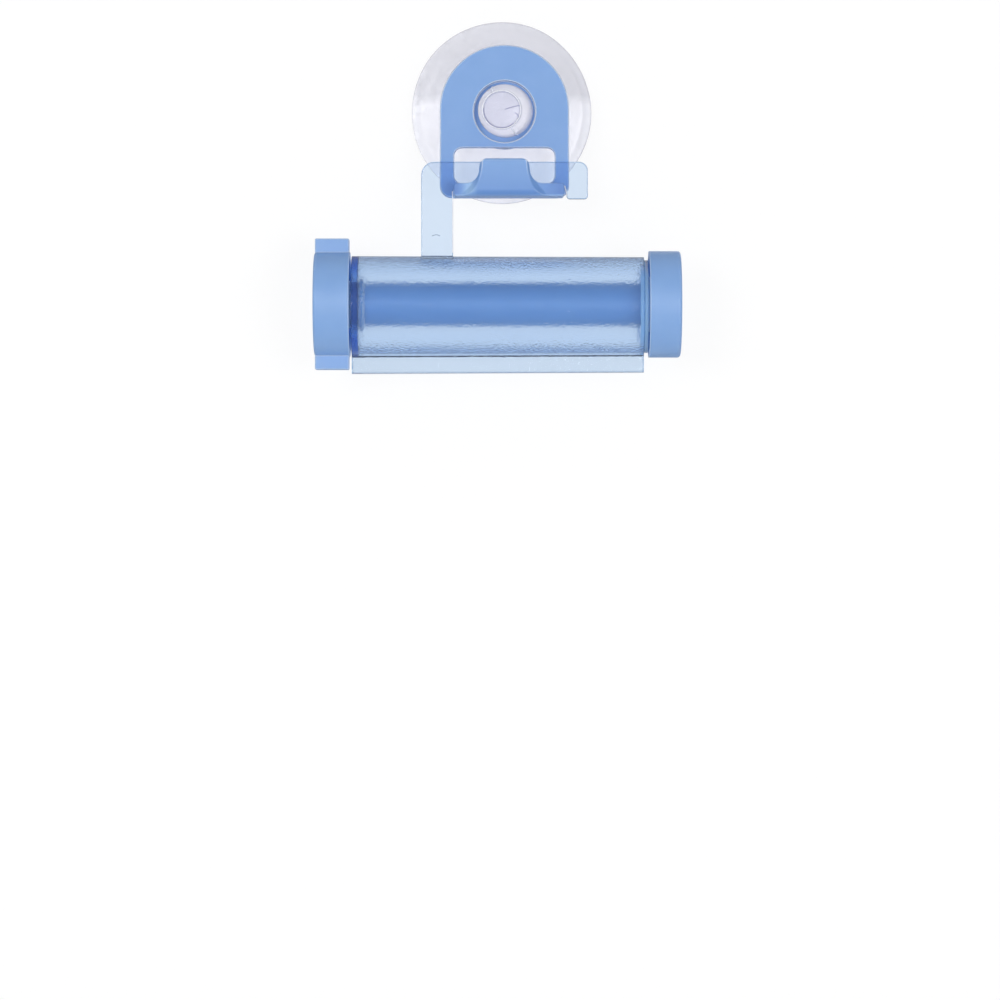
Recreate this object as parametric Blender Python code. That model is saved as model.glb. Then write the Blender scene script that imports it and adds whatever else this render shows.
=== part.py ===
"""Toothpaste tube squeezer: a slotted roller in a clear casing that hangs from a suction-cup hook.

+X points right, +Y into the wall and +Z up. The origin is on the wall, on the suction cup's axis.
A depth is a distance out from the wall, along -Y.
"""

import math

import bmesh
import bpy
from mathutils import Matrix, Vector

MM = 0.001

# Fits between pieces
CLEARANCE = 0.3 * MM
PRESS_GAP = 0.1 * MM
NOTCH_PLAY = 0.65 * MM
TROUGH_PLAY = 1.8 * MM
KNOB_GAP = 0.5 * MM

# Suction cup, soft clear plastic
CUP_RIM_RADIUS = 22.7 * MM
CUP_SEAL_WIDTH = 2.0 * MM
CUP_RIM_THICKNESS = 0.8 * MM
CUP_CAVITY_DEPTH = 6.4 * MM
CUP_DOME_HEIGHT = 9.0 * MM
CUP_COLLAR_RADIUS = 7.8 * MM
CUP_COLLAR_FILLET = 1.6 * MM
CUP_HEIGHT = 10.8 * MM
NECK_RADIUS = 5.3 * MM
HEAD_RADIUS = 6.7 * MM
HEAD_THICKNESS = 3.2 * MM
HEAD_FACE_RADIUS = 4.9 * MM
HEAD_BEVEL_HEIGHT = 1.4 * MM
HEAD_EDGE_ROUND = 0.5 * MM

# Hook plate
PLATE_RADIUS = 16.2 * MM
PLATE_RISE = 0.5 * MM
PLATE_THICKNESS = 2.2 * MM
PLATE_EDGE = 0.35 * MM
PLATE_CORNER = 3.0 * MM
HUB_FLOOR = 1.6 * MM
HUB_WALL = 1.5 * MM
SEAT_PLAY = 1.1 * MM
SEAT_DEPTH = 2.0 * MM
WINDOW_SIDE = 3.6 * MM
WINDOW_TOP_BAR = 1.3 * MM
WINDOW_SILL = 1.8 * MM
WINDOW_CORNER = 2.0 * MM

# J-shaped hook along the plate's bottom edge
HOOK_DROP = 19.9 * MM
TROUGH_FLOOR = 1.8 * MM
TROUGH_WIDTH = 27.4 * MM
TROUGH_SHIFT = 1.15 * MM
TROUGH_CORNER = 0.6 * MM
TROUGH_FILLET = 0.7 * MM
WALL_THICKNESS = 2.6 * MM
WALL_HEIGHT = 1.5 * MM
HOOK_BOTTOM_ROUND = 2.0 * MM
TAB_HEIGHT = 7.55 * MM
TAB_HALF_WIDTH = 6.1 * MM
TAB_SPREAD = 0.5 * MM
TAB_CORNER = 2.0 * MM
TAB_FLARE = 3.2 * MM
TAB_TOP_ROUND = 0.6 * MM

# Raised front face of the tab, wider and softer at its foot
FACE_RAISE = 1.5 * MM
FACE_TOP_HALF_WIDTH = 5.4 * MM
FACE_TOP_SLOPE = 1.0 * MM
FACE_FOOT_HALF_WIDTH = 8.0 * MM
FACE_FOOT_SLOPE = 3.4 * MM
FACE_CURVE = 2.2

# Hanger, the flat arm that stands on the casing
HANGER_THICKNESS = 2.2 * MM
HANGER_EDGE = 0.2 * MM
HANGER_LEG_WIDTH = 7.95 * MM
HANGER_BAR_HEIGHT = 6.7 * MM
HANGER_END_WIDTH = 5.3 * MM
HANGER_END_DROP = 2.6 * MM
HANGER_LEG_CORNER = 3.3 * MM
HANGER_END_CORNER = 2.2 * MM
HANGER_SMALL_CORNER = 0.8 * MM
NOTCH_CORNER = 0.6 * MM

# Casing: a barrel with a slot between two lips. It narrows a little to the right, as the mould needs.
AXIS_DROP = 35.6 * MM
AXIS_RISE = 0.55 * MM
BARREL_LEFT_X = -38.1 * MM
BARREL_LENGTH = 72.85 * MM
BARREL_RADIUS = 12.6 * MM
BARREL_WALL = 1.8 * MM
BARREL_DRAFT = math.radians(0.2)
SLOT_WIDTH = 2.4 * MM
LIP_THICKNESS = 1.2 * MM
LIP_HEIGHT = 4.2 * MM
LIP_TIP_ROUND = 0.4 * MM
LIP_ROOT_FILLET = 0.5 * MM
END_WALL = 1.5 * MM
END_WALL_INSET = 0.1 * MM

# Bearing disc, pressed into the casing's open end
BEARING_FLANGE = 0.9 * MM
BEARING_LAP = 1.0 * MM
BEARING_RING_LENGTH = 1.1 * MM
BEARING_RING_WALL = 1.2 * MM

# Roller, split into two prongs that the winding slot parts
ROLLER_RADIUS = 5.5 * MM
ROLLER_SLOT = 1.8 * MM
ROLLER_SLOT_START = 2.0 * MM
ROLLER_TIP_CHAMFER = 0.6 * MM
COLLAR_LAP = 1.0 * MM
COLLAR_THICKNESS = 1.1 * MM
SPIGOT_SIDE = 5.8 * MM
SPIGOT_END_WALL = 1.0 * MM

# Winding knob, a hollow disc with two wings
KNOB_RADIUS = 13.1 * MM
KNOB_WIDTH = 8.9 * MM
KNOB_WALL = 1.6 * MM
KNOB_HUB_RADIUS = 5.9 * MM
KNOB_EDGE_ROUND = 0.8 * MM
WING_HEIGHT = 3.25 * MM
WING_THICKNESS = 5.0 * MM
WING_INSET = 0.2 * MM
WING_WALL = 1.4 * MM
WING_EDGE_ROUND = 0.3 * MM

# End cap, a hollow disc pressed onto the prongs' tips
CAP_RADIUS = 13.3 * MM
CAP_WIDTH = 7.9 * MM
CAP_WALL = 1.6 * MM
CAP_BOSS_WALL = 1.3 * MM
CAP_EDGE_ROUND = 0.8 * MM

# Facets
FINE_SEGMENTS = 72
BORE_SEGMENTS = 48
CORNER_STEPS = 6
SLOPE_STEPS = 6
FACE_STEPS = 6

# Depths
HUB_BACK = CUP_HEIGHT + CLEARANCE
SEAT_FLOOR = HUB_BACK + HUB_FLOOR
PLATE_FRONT = SEAT_FLOOR + SEAT_DEPTH
PLATE_MIDDLE = PLATE_FRONT - PLATE_THICKNESS / 2
HEAD_BACK = SEAT_FLOOR + CLEARANCE
HEAD_FRONT = HEAD_BACK + HEAD_THICKNESS
HANGER_BACK = max(HEAD_FRONT, PLATE_FRONT) + CLEARANCE
HANGER_MIDDLE = HANGER_BACK + HANGER_THICKNESS / 2
WALL_BACK = HANGER_BACK + HANGER_THICKNESS + TROUGH_PLAY
WALL_FRONT = WALL_BACK + WALL_THICKNESS

# Heights
TROUGH_TOP_Z = -HOOK_DROP
TROUGH_BOTTOM_Z = TROUGH_TOP_Z - TROUGH_FLOOR
TAB_TOP_Z = TROUGH_TOP_Z + TAB_HEIGHT
BAR_BOTTOM_Z = TROUGH_TOP_Z + CLEARANCE
BAR_TOP_Z = BAR_BOTTOM_Z + HANGER_BAR_HEIGHT
ROLLER_AXIS = Vector((0, -HANGER_MIDDLE, BAR_TOP_Z - AXIS_DROP))
BARREL_AXIS = ROLLER_AXIS - Vector((0, 0, AXIS_RISE))

# Radii
SEAT_RADIUS = HEAD_RADIUS + SEAT_PLAY
BORE_RADIUS = ROLLER_RADIUS + CLEARANCE
BARREL_INSIDE = BARREL_RADIUS - BARREL_WALL
BARREL_SHRINK = math.tan(BARREL_DRAFT) * BARREL_LENGTH / BARREL_RADIUS
BARREL_MOUTH = BARREL_INSIDE * (1 - BARREL_SHRINK)

# Places from left to right
TROUGH_LEFT_X = TROUGH_SHIFT - TROUGH_WIDTH / 2
TROUGH_RIGHT_X = TROUGH_SHIFT + TROUGH_WIDTH / 2
LEG_RIGHT_X = TROUGH_LEFT_X - CLEARANCE
LEG_LEFT_X = LEG_RIGHT_X - HANGER_LEG_WIDTH
NOTCH_RIGHT_X = TROUGH_RIGHT_X + NOTCH_PLAY
HANGER_RIGHT_X = NOTCH_RIGHT_X + HANGER_END_WIDTH
KNOB_INNER_X = BARREL_LEFT_X - KNOB_GAP
KNOB_OUTER_X = KNOB_INNER_X - KNOB_WIDTH
SPIGOT_TIP_X = KNOB_OUTER_X + KNOB_WALL + SPIGOT_END_WALL
END_WALL_LEFT_X = BARREL_LEFT_X + END_WALL_INSET
END_WALL_RIGHT_X = END_WALL_LEFT_X + END_WALL
COLLAR_LEFT_X = END_WALL_RIGHT_X + CLEARANCE
COLLAR_RIGHT_X = COLLAR_LEFT_X + COLLAR_THICKNESS
BARREL_RIGHT_X = BARREL_LEFT_X + BARREL_LENGTH
FLANGE_LEFT_X = BARREL_RIGHT_X + PRESS_GAP
FLANGE_RIGHT_X = FLANGE_LEFT_X + BEARING_FLANGE
CAP_INNER_X = FLANGE_RIGHT_X + CLEARANCE
CAP_OUTER_X = CAP_INNER_X + CAP_WIDTH
ROLLER_TIP_X = CAP_OUTER_X - CAP_WALL - CLEARANCE

MILKY_BLUE = (0.262, 0.434, 0.776, 1)
CLEAR_BLUE = (0.55, 0.72, 0.92, 1)
CLEAR_SOFT = (0.86, 0.85, 0.90, 1)


def clear_scene():
    for obj in list(bpy.data.objects):
        bpy.data.objects.remove(obj, do_unlink=True)


def new_collection(name):
    collection = bpy.data.collections.new(name)
    bpy.context.scene.collection.children.link(collection)
    return collection


def plastic(name, colour, roughness, transmission=0.0):
    material = bpy.data.materials.new(name)
    material.use_nodes = True
    shader = material.node_tree.nodes["Principled BSDF"]
    shader.inputs["Base Color"].default_value = colour
    shader.inputs["Roughness"].default_value = roughness
    shader.inputs["Transmission Weight"].default_value = transmission
    material.diffuse_color = colour
    return material


def arc(centre, radius, start, end, steps):
    """Points on an arc, from angle start to angle end, both included."""
    turns = [start + (end - start) * i / steps for i in range(steps + 1)]
    return [(centre[0] + radius * math.cos(t), centre[1] + radius * math.sin(t)) for t in turns]


def rounded(corners):
    """A closed outline from corners (x, y, radius), with an arc in place of each one that has a radius."""
    outline = []
    for i, (x, y, radius) in enumerate(corners):
        if radius <= 0:
            outline.append((x, y))
            continue
        here = Vector((x, y))
        before = (Vector(corners[i - 1][:2]) - here).normalized()
        after = (Vector(corners[(i + 1) % len(corners)][:2]) - here).normalized()
        half = before.angle(after) / 2
        centre = here + (before + after).normalized() * (radius / math.sin(half))
        first = here + before * (radius / math.tan(half)) - centre
        last = here + after * (radius / math.tan(half)) - centre
        start = math.atan2(first.y, first.x)
        sweep = math.remainder(math.atan2(last.y, last.x) - start, math.tau)
        outline += arc(centre, radius, start, start + sweep, CORNER_STEPS)
    return outline


def smooth_step(share):
    return share * share * (3 - 2 * share)


def add_object(name, mesh, matrix, collection, material=None):
    obj = bpy.data.objects.new(name, mesh)
    obj.matrix_world = matrix
    collection.objects.link(obj)
    if material:
        mesh.materials.clear()
        mesh.materials.append(material)
    return obj


def slab(name, outlines, thickness, matrix, collection, material=None, edge=0.0):
    """A flat solid, centred on the local XY plane. The first outline is its border, the others are holes,
    and edge rounds the borders of both faces."""
    curve = bpy.data.curves.new(name, "CURVE")
    curve.dimensions = "2D"
    curve.fill_mode = "BOTH"
    curve.extrude = thickness / 2 - edge
    curve.bevel_depth = edge
    curve.bevel_resolution = 1
    curve.offset = -edge
    for outline in outlines:
        spline = curve.splines.new("POLY")
        spline.points.add(len(outline) - 1)
        for point, (x, y) in zip(spline.points, outline):
            point.co = (x, y, 0, 1)
        spline.use_cyclic_u = True
    source = bpy.data.objects.new(name + "_outline", curve)
    collection.objects.link(source)
    bpy.context.view_layer.update()
    graph = bpy.context.evaluated_depsgraph_get()
    mesh = bpy.data.meshes.new_from_object(source.evaluated_get(graph))
    bpy.data.objects.remove(source)
    welded = bmesh.new()
    welded.from_mesh(mesh)
    bmesh.ops.remove_doubles(welded, verts=welded.verts, dist=1e-6)
    bmesh.ops.recalc_face_normals(welded, faces=welded.faces)
    welded.to_mesh(mesh)
    welded.free()
    return add_object(name, mesh, matrix, collection, material)


def turned(name, profile, segments, matrix, collection, material=None):
    """A turned solid: a profile of (radius, height) points, spun round the local Z axis. The profile starts
    and ends on the axis, or comes back to its first point."""
    shape = bmesh.new()
    turns = [math.tau * i / segments for i in range(segments)]
    rings = []
    for radius, height in profile:
        if radius > 0:
            rings.append([shape.verts.new((radius * math.cos(t), radius * math.sin(t), height)) for t in turns])
        else:
            rings.append([shape.verts.new((0, 0, height))])
    if profile[0] == profile[-1]:
        for vertex in rings.pop():
            shape.verts.remove(vertex)
        rings.append(rings[0])
    for first, second in zip(rings, rings[1:]):
        for i in range(segments):
            corners = [first[i - 1], first[i]] if len(first) > 1 else first[:]
            corners += [second[i], second[i - 1]] if len(second) > 1 else second
            shape.faces.new(corners).smooth = True
    bmesh.ops.recalc_face_normals(shape, faces=shape.faces)
    mesh = bpy.data.meshes.new(name)
    shape.to_mesh(mesh)
    shape.free()
    return add_object(name, mesh, matrix, collection, material)


def box(name, low, high, collection, edge=0.0):
    """A block between two corners, with its edges rounded by edge."""
    shape = bmesh.new()
    middle = (Vector(low) + Vector(high)) / 2
    size = Vector(high) - Vector(low)
    bmesh.ops.create_cube(shape, size=1, matrix=Matrix.Translation(middle) @ Matrix.Diagonal((*size, 1)))
    if edge:
        bmesh.ops.bevel(shape, geom=shape.edges[:], offset=edge, segments=2, profile=0.5, affect="EDGES")
    mesh = bpy.data.meshes.new(name)
    shape.to_mesh(mesh)
    shape.free()
    return add_object(name, mesh, Matrix.Identity(4), collection)


def bar(name, radius, low, high, matrix, collection, segments=BORE_SEGMENTS):
    """A round bar on the local Z axis, between two heights."""
    shape = bmesh.new()
    bmesh.ops.create_cone(
        shape,
        cap_ends=True,
        segments=segments,
        radius1=radius,
        radius2=radius,
        depth=high - low,
        matrix=Matrix.Translation((0, 0, (low + high) / 2)),
    )
    mesh = bpy.data.meshes.new(name)
    shape.to_mesh(mesh)
    shape.free()
    return add_object(name, mesh, matrix, collection)


def loft(name, sections, matrix, collection):
    """A solid through sections (height, outline) that all have as many points as each other."""
    shape = bmesh.new()
    rings = [[shape.verts.new((x, y, height)) for x, y in outline] for height, outline in sections]
    for lower, upper in zip(rings, rings[1:]):
        for i in range(len(lower)):
            shape.faces.new((lower[i - 1], lower[i], upper[i], upper[i - 1]))
    shape.faces.new(rings[0][::-1])
    shape.faces.new(rings[-1])
    bmesh.ops.recalc_face_normals(shape, faces=shape.faces)
    mesh = bpy.data.meshes.new(name)
    shape.to_mesh(mesh)
    shape.free()
    return add_object(name, mesh, matrix, collection)


def boolean(obj, operation, tool):
    step = obj.modifiers.new(tool.name, "BOOLEAN")
    step.operation = operation
    step.solver = "EXACT"
    step.object = tool
    tool.hide_render = True
    tool.display_type = "WIRE"


def facing_front(depth=0.0):
    """Local X and Y are the row's X and Z, and local Z is depth, from the depth given."""
    return Matrix.Translation((0, -depth, 0)) @ Matrix.Rotation(math.pi / 2, 4, "X")


def facing_side(middle):
    """Local X is depth, local Y is height and local Z points left, round a middle point."""
    axes = Matrix(((0, 0, -1), (-1, 0, 0), (0, 1, 0))).to_4x4()
    return Matrix.Translation(middle) @ axes


def seen_from_above():
    """Local X is the row's X, local Y is depth and local Z points down."""
    return Matrix(((1, 0, 0), (0, -1, 0), (0, 0, -1))).to_4x4()


def along_x(axis, direction=1):
    """Local Z is the row's X, or its opposite, on an axis through a point."""
    return Matrix.Translation((0, axis.y, axis.z)) @ Matrix.Rotation(direction * math.pi / 2, 4, "Y")


def bell(inner, outer, steps=9):
    """A shallow bell curve from an inner point out to an outer one, flattest at the inner end."""
    points = []
    for i in range(steps + 1):
        share = i / steps
        fall = 0.7 * share**1.6 + 0.3 * share
        points.append((inner[0] + (outer[0] - inner[0]) * share, inner[1] + (outer[1] - inner[1]) * fall))
    return points


def cup_profile():
    """Half section of the suction cup: radius and depth."""
    bevel_back = HEAD_FRONT - HEAD_BEVEL_HEIGHT
    edge_centre = (HEAD_RADIUS - HEAD_EDGE_ROUND, HEAD_BACK + HEAD_EDGE_ROUND)
    head = [(0, HEAD_FRONT), (HEAD_FACE_RADIUS, HEAD_FRONT), (HEAD_RADIUS, bevel_back)]
    head += arc(edge_centre, HEAD_EDGE_ROUND, 0, -math.pi / 2, 3)
    neck = [(NECK_RADIUS, HEAD_BACK), (NECK_RADIUS, CUP_HEIGHT)]
    fillet_centre = (CUP_COLLAR_RADIUS + CUP_COLLAR_FILLET, CUP_DOME_HEIGHT + CUP_COLLAR_FILLET)
    collar = [(CUP_COLLAR_RADIUS, CUP_HEIGHT)]
    collar += arc(fillet_centre, CUP_COLLAR_FILLET, math.pi, math.pi * 1.4, 4)
    dome = bell(collar[-1], (CUP_RIM_RADIUS, CUP_RIM_THICKNESS))
    seal_radius = CUP_RIM_RADIUS - CUP_SEAL_WIDTH
    rim = [(CUP_RIM_RADIUS, 0), (seal_radius, 0)]
    cavity = bell((0, CUP_CAVITY_DEPTH), (seal_radius, 0))[::-1]
    return head + neck + collar + dome[1:] + rim + cavity[1:]


def make_suction_cup(parts, material):
    return turned("suction_cup", cup_profile(), FINE_SEGMENTS, facing_front(), parts, material)


def plate_outline():
    """An arch over straight sides, with round bottom corners. Its centre is a little above the cup's axis."""
    low = TROUGH_BOTTOM_Z + PLATE_CORNER
    side = PLATE_RADIUS - PLATE_CORNER
    arch = arc((0, PLATE_RISE), PLATE_RADIUS, 0, math.pi, FINE_SEGMENTS // 2)
    left = arc((-side, low), PLATE_CORNER, math.pi, math.pi * 1.5, CORNER_STEPS)
    right = arc((side, low), PLATE_CORNER, -math.pi / 2, 0, CORNER_STEPS)
    return arch + left + right


def window_outline():
    half = PLATE_RADIUS - WINDOW_SIDE
    bottom = TROUGH_TOP_Z + WINDOW_SILL
    top = -(SEAT_RADIUS + WINDOW_TOP_BAR)
    sides = ((-half, bottom), (half, bottom), (half, top), (-half, top))
    return rounded([(x, z, WINDOW_CORNER) for x, z in sides])


def hook_front_outline():
    """Front view of the trough's wall, and of the tab that rises from it on a flared foot."""
    wall_top = TROUGH_TOP_Z + WALL_HEIGHT
    half = TAB_HALF_WIDTH
    return rounded([
        (TROUGH_LEFT_X, TROUGH_BOTTOM_Z, TROUGH_CORNER),
        (TROUGH_RIGHT_X, TROUGH_BOTTOM_Z, TROUGH_CORNER),
        (TROUGH_RIGHT_X, wall_top, TROUGH_CORNER),
        (half + TAB_SPREAD, wall_top, TAB_FLARE),
        (half, TAB_TOP_Z, TAB_CORNER),
        (-half, TAB_TOP_Z, TAB_CORNER),
        (-half - TAB_SPREAD, wall_top, TAB_FLARE),
        (TROUGH_LEFT_X, wall_top, TROUGH_CORNER),
    ])


def hook_side_outline():
    """Section of the J: its floor, trough and front wall. It starts inside the plate."""
    return rounded([
        (PLATE_MIDDLE, TROUGH_BOTTOM_Z, 0),
        (WALL_FRONT, TROUGH_BOTTOM_Z, HOOK_BOTTOM_ROUND),
        (WALL_FRONT, TAB_TOP_Z, TAB_TOP_ROUND),
        (WALL_BACK, TAB_TOP_Z, TAB_TOP_ROUND),
        (WALL_BACK, TROUGH_TOP_Z, TROUGH_FILLET),
        (PLATE_MIDDLE, TROUGH_TOP_Z, 0),
    ])


def hook_plan_outline(half_width, slope):
    """Plan of the hook's front: a raised face that slopes back to the trough's wall on each side."""
    low = WALL_FRONT - FACE_RAISE
    right = []
    for i in range(SLOPE_STEPS + 1):
        share = i / SLOPE_STEPS
        right.append((half_width + slope * share, WALL_FRONT - FACE_RAISE * smooth_step(share)))
    right += [(TROUGH_WIDTH, low), (TROUGH_WIDTH, PLATE_MIDDLE)]
    return [(-x, depth) for x, depth in right] + right[::-1]


def hook_face_sections():
    """Plans of the hook's front from above its tab to below its floor, wider towards the foot."""
    sections = []
    for i in range(FACE_STEPS + 1):
        share = i / FACE_STEPS
        spread = share**FACE_CURVE
        half_width = FACE_TOP_HALF_WIDTH + (FACE_FOOT_HALF_WIDTH - FACE_TOP_HALF_WIDTH) * spread
        slope = FACE_TOP_SLOPE + (FACE_FOOT_SLOPE - FACE_TOP_SLOPE) * spread
        drop = -TAB_TOP_Z + (TAB_TOP_Z - TROUGH_BOTTOM_Z) * share
        sections.append((drop, hook_plan_outline(half_width, slope)))
    above = (sections[0][0] - TROUGH_FLOOR, sections[0][1])
    below = (sections[-1][0] + TROUGH_FLOOR, sections[-1][1])
    return [above] + sections + [below]


def make_hook_plate(parts, cutters, material):
    outlines = [plate_outline(), window_outline()]
    front = facing_front(PLATE_MIDDLE)
    plate = slab("hook_plate", outlines, PLATE_THICKNESS, front, parts, material, PLATE_EDGE)
    hub = bar("hub_form", SEAT_RADIUS + HUB_WALL, HUB_BACK, PLATE_MIDDLE, facing_front(), cutters)
    seat = bar("head_seat", SEAT_RADIUS, SEAT_FLOOR, PLATE_FRONT + SEAT_DEPTH, facing_front(), cutters)
    hole = bar("neck_hole", NECK_RADIUS + CLEARANCE, 0, PLATE_FRONT, facing_front(), cutters)
    hook = slab("hook_form", [hook_front_outline()], 2 * WALL_FRONT, facing_front(WALL_FRONT), cutters)
    middle = (TROUGH_SHIFT, 0, 0)
    side = slab("hook_section", [hook_side_outline()], 2 * TROUGH_WIDTH, facing_side(middle), cutters)
    plan = loft("hook_face_form", hook_face_sections(), seen_from_above(), cutters)
    boolean(hook, "INTERSECT", side)
    boolean(hook, "INTERSECT", plan)
    boolean(plate, "UNION", hub)
    boolean(plate, "UNION", hook)
    boolean(plate, "DIFFERENCE", seat)
    boolean(plate, "DIFFERENCE", hole)
    return plate


def lip_tip(side, first, last):
    """The round foot of one lip, from its face at first to its face at last, on one side of the slot."""
    height = LIP_TIP_ROUND - (BARREL_RADIUS + LIP_HEIGHT)
    step = math.copysign(LIP_TIP_ROUND, last - first)
    turn = math.pi if (last > first) == (side > 0) else 0
    sweep = math.pi / 2 if turn else -math.pi / 2
    start = arc((side * (first + step), height), LIP_TIP_ROUND, turn, turn + sweep, 3)
    end = arc((side * (last - step), height), LIP_TIP_ROUND, turn + sweep, turn + 2 * sweep, 3)
    return start + end


def lip_root(x, radius):
    """The fillet between a lip's face at x and the ring of a radius, from the ring to the lip, on the right.
    It gives its points and the angle on the ring where it starts."""
    fillet = LIP_ROOT_FILLET
    height = -math.sqrt((radius + fillet) ** 2 - (x + fillet) ** 2)
    turn = math.atan2(height, x + fillet)
    return arc((x + fillet, height), fillet, turn + math.pi, math.pi, 3), turn


def mirrored(points):
    return [(-x, y) for x, y in reversed(points)]


def casing_section():
    """Section of the casing round the barrel's axis: an open ring that runs down into two lips."""
    inside = SLOT_WIDTH / 2
    outside = inside + LIP_THICKNESS
    outer_root, outer_turn = lip_root(outside, BARREL_RADIUS)
    inner_root, inner_turn = lip_root(inside, BARREL_INSIDE)
    outer = arc((0, 0), BARREL_RADIUS, outer_turn, math.pi - outer_turn, FINE_SEGMENTS)
    inner = arc((0, 0), BARREL_INSIDE, math.pi - inner_turn, inner_turn, FINE_SEGMENTS)
    left = mirrored(outer_root)[::-1] + lip_tip(-1, outside, inside) + mirrored(inner_root)
    right = inner_root + lip_tip(1, inside, outside) + outer_root[::-1]
    return outer[1:-1] + left + inner[1:-1] + right


def hanger_outline():
    """Front view of the hanger: a leg up from the barrel, a bar across and a drop at the bar's end."""
    foot = BARREL_AXIS.z + BARREL_RADIUS - BARREL_WALL / 2
    end = BAR_BOTTOM_Z - HANGER_END_DROP
    return rounded([
        (LEG_LEFT_X, foot, 0),
        (LEG_RIGHT_X, foot, 0),
        (LEG_RIGHT_X, BAR_BOTTOM_Z, NOTCH_CORNER),
        (NOTCH_RIGHT_X, BAR_BOTTOM_Z, NOTCH_CORNER),
        (NOTCH_RIGHT_X, end, HANGER_SMALL_CORNER),
        (HANGER_RIGHT_X, end, HANGER_SMALL_CORNER),
        (HANGER_RIGHT_X, BAR_TOP_Z, HANGER_END_CORNER),
        (LEG_LEFT_X, BAR_TOP_Z, HANGER_LEG_CORNER),
    ])


def make_casing(parts, cutters, material):
    middle = (BARREL_LEFT_X + BARREL_LENGTH / 2, BARREL_AXIS.y, BARREL_AXIS.z)
    casing = slab("casing", [casing_section()], BARREL_LENGTH, facing_side(middle), parts, material)
    for vertex in casing.data.vertices:
        from_left = 0.5 - vertex.co.z / BARREL_LENGTH
        vertex.co.xy *= 1 - BARREL_SHRINK * from_left
    wall_radius = BARREL_RADIUS - BARREL_WALL / 2
    wall = bar("end_wall_form", wall_radius, END_WALL_LEFT_X, END_WALL_RIGHT_X, along_x(BARREL_AXIS), cutters)
    hole_ends = (BARREL_LEFT_X - END_WALL, END_WALL_RIGHT_X + END_WALL)
    hole = bar("casing_bore", BORE_RADIUS, *hole_ends, along_x(ROLLER_AXIS), cutters)
    front = facing_front(HANGER_MIDDLE)
    hanger = slab("hanger_form", [hanger_outline()], HANGER_THICKNESS, front, cutters, edge=HANGER_EDGE)
    boolean(casing, "UNION", wall)
    boolean(casing, "DIFFERENCE", hole)
    boolean(casing, "UNION", hanger)
    return casing


def bearing_profile():
    """Half section of the bearing disc: radius, and distance to the left along the barrel's axis."""
    ring_outside = BARREL_MOUTH - PRESS_GAP
    ring_inside = ring_outside - BEARING_RING_WALL
    ring_end = -(FLANGE_LEFT_X - BEARING_RING_LENGTH)
    return [
        (0, -FLANGE_LEFT_X),
        (ring_inside, -FLANGE_LEFT_X),
        (ring_inside, ring_end),
        (ring_outside, ring_end),
        (ring_outside, -FLANGE_LEFT_X),
        (BARREL_MOUTH + BEARING_LAP, -FLANGE_LEFT_X),
        (BARREL_MOUTH + BEARING_LAP, -FLANGE_RIGHT_X),
        (0, -FLANGE_RIGHT_X),
    ]


def make_bearing_disc(parts, cutters, material):
    axis = along_x(BARREL_AXIS, -1)
    disc = turned("bearing_disc", bearing_profile(), FINE_SEGMENTS, axis, parts, material)
    hole = bar("disc_bore", BORE_RADIUS, BARREL_RIGHT_X - CAP_WIDTH, CAP_OUTER_X, along_x(ROLLER_AXIS), cutters)
    boolean(disc, "DIFFERENCE", hole)
    return disc


def roller_profile():
    """Half section of the roller: radius and place along +X."""
    collar = ROLLER_RADIUS + COLLAR_LAP
    return [
        (0, ROLLER_TIP_X),
        (ROLLER_RADIUS - ROLLER_TIP_CHAMFER, ROLLER_TIP_X),
        (ROLLER_RADIUS, ROLLER_TIP_X - ROLLER_TIP_CHAMFER),
        (ROLLER_RADIUS, COLLAR_RIGHT_X),
        (collar, COLLAR_RIGHT_X),
        (collar, COLLAR_LEFT_X),
        (ROLLER_RADIUS, COLLAR_LEFT_X),
        (ROLLER_RADIUS, KNOB_INNER_X + PRESS_GAP),
        (0, KNOB_INNER_X + PRESS_GAP),
    ]


def square_bar(name, side, low_x, high_x, cutters):
    """A square bar on the roller's axis, between two places along X."""
    low = (low_x, ROLLER_AXIS.y - side / 2, ROLLER_AXIS.z - side / 2)
    high = (high_x, ROLLER_AXIS.y + side / 2, ROLLER_AXIS.z + side / 2)
    return box(name, low, high, cutters)


def make_roller(parts, cutters, material):
    roller = turned("roller", roller_profile(), BORE_SEGMENTS, along_x(ROLLER_AXIS), parts, material)
    spigot = square_bar("spigot_form", SPIGOT_SIDE, SPIGOT_TIP_X, COLLAR_LEFT_X, cutters)
    far = 2 * ROLLER_RADIUS
    low = (COLLAR_RIGHT_X + ROLLER_SLOT_START, ROLLER_AXIS.y - ROLLER_SLOT / 2, ROLLER_AXIS.z - far)
    high = (ROLLER_TIP_X + far, ROLLER_AXIS.y + ROLLER_SLOT / 2, ROLLER_AXIS.z + far)
    slot = box("winding_slot", low, high, cutters)
    boolean(roller, "UNION", spigot)
    boolean(roller, "DIFFERENCE", slot)
    return roller


def disc_edge(radius, width, edge_round):
    """Half section of a disc's outer side: radius, and height above its inner face."""
    edge = arc((radius - edge_round, width - edge_round), edge_round, math.pi / 2, 0, 4)
    return [(0, width)] + edge + [(radius, 0)]


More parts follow.
